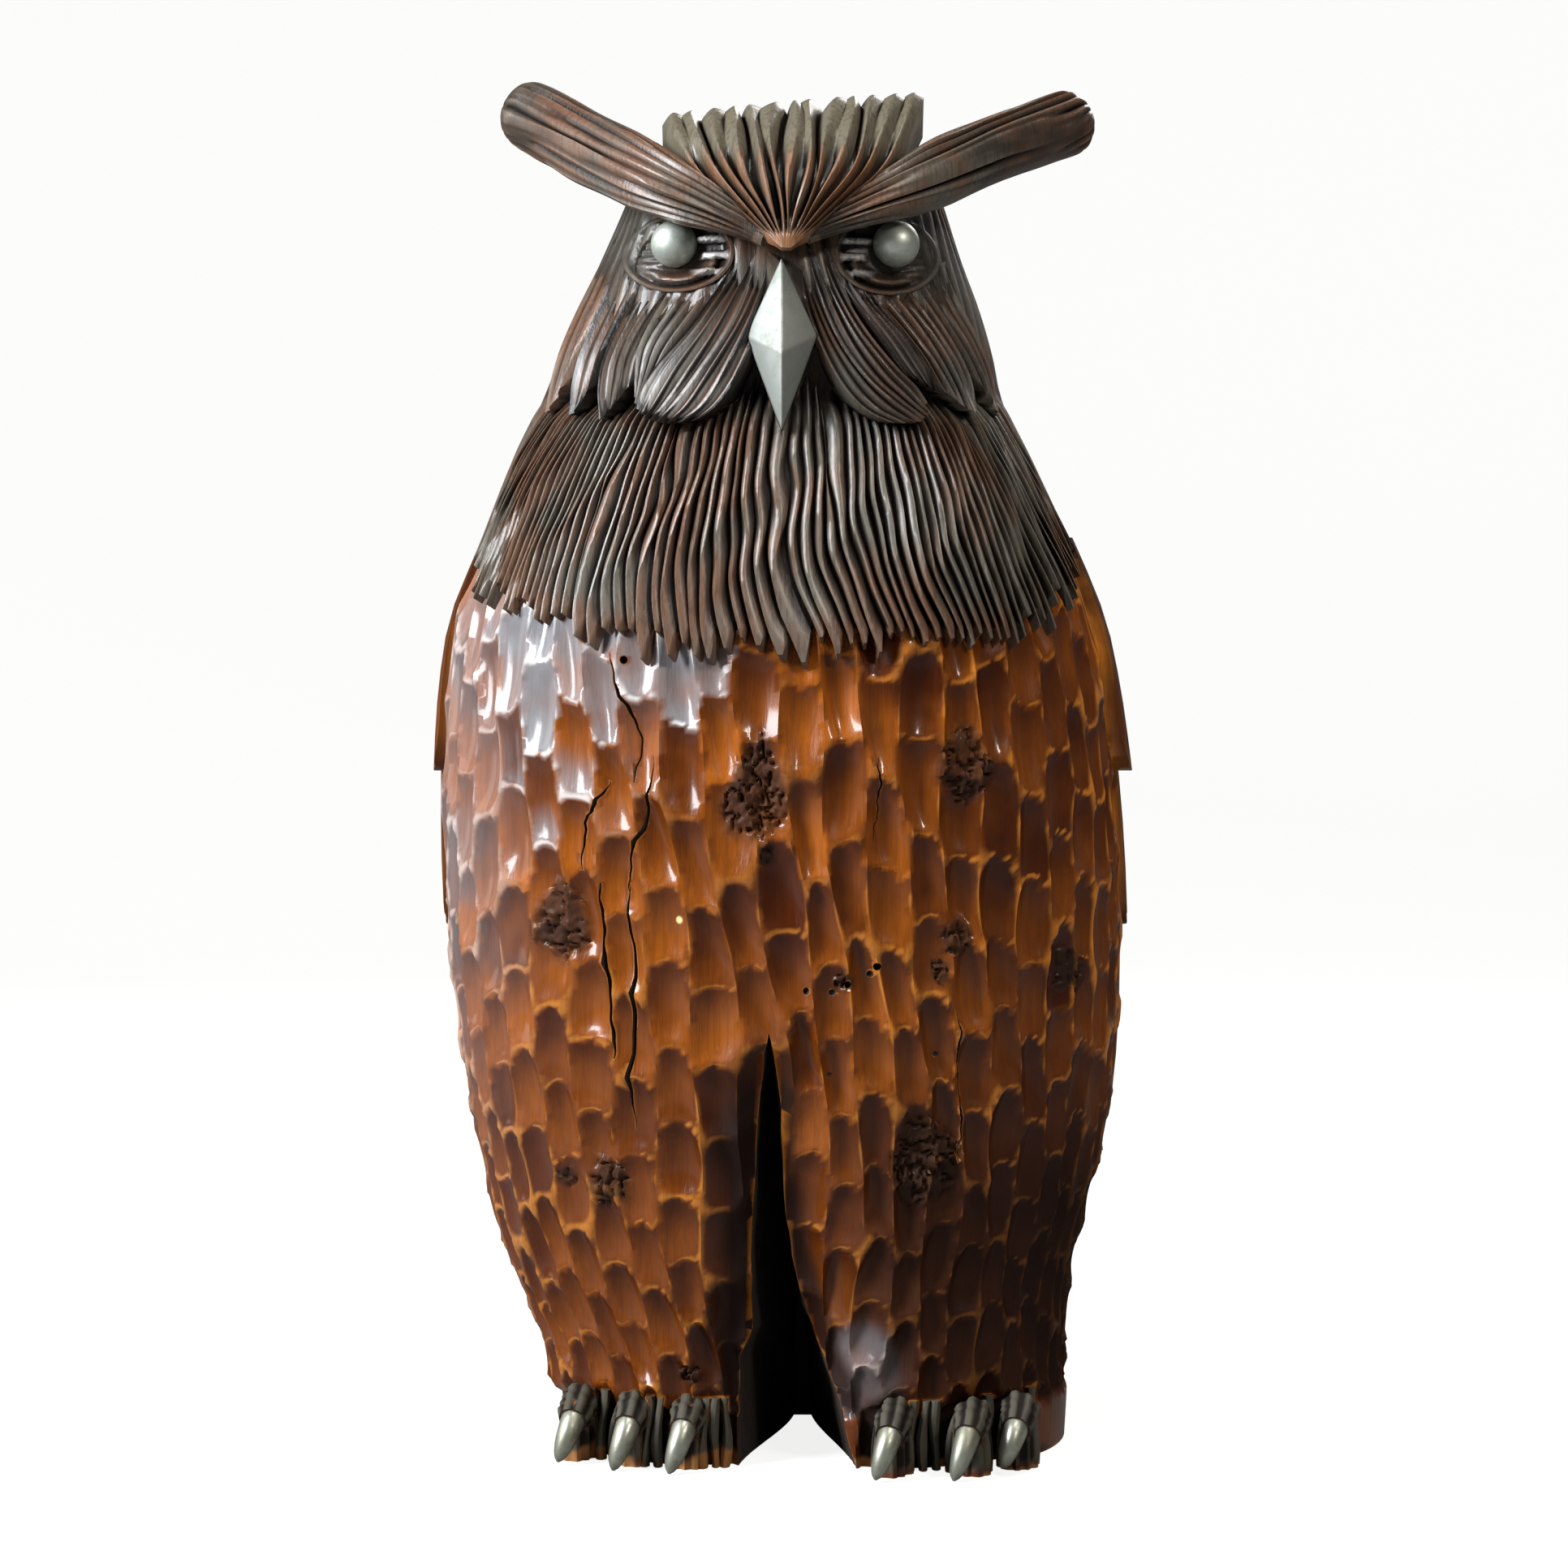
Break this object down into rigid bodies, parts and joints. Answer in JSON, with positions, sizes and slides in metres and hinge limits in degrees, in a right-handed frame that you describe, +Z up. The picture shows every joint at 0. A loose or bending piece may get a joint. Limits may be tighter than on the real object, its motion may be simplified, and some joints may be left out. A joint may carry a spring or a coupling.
{
  "type": "carved wooden owl",
  "caption": "Standing horned owl carved from one log, with gouge marks, a grooved bib, long ear tufts, and metal eyes, beak and claws.",
  "frame": {"origin": "on the floor, under the middle of the whole figure's box", "axes": "+Z up; the owl faces -Y, and +X is to the right in the front view"},
  "size_m": [0.3132, 0.2587, 0.6],
  "materials": {
    "wood": "gloss",
    "metal": "satin"
  },
  "bodies": {
    "root": {"carved_body": "wood", "beak": "metal", "eye_left": "metal", "eye_right": "metal", "claw_left_1": "metal", "claw_left_2": "metal", "claw_left_3": "metal", "claw_right_1": "metal", "claw_right_2": "metal", "claw_right_3": "metal"}
  },
  "joints": []
}
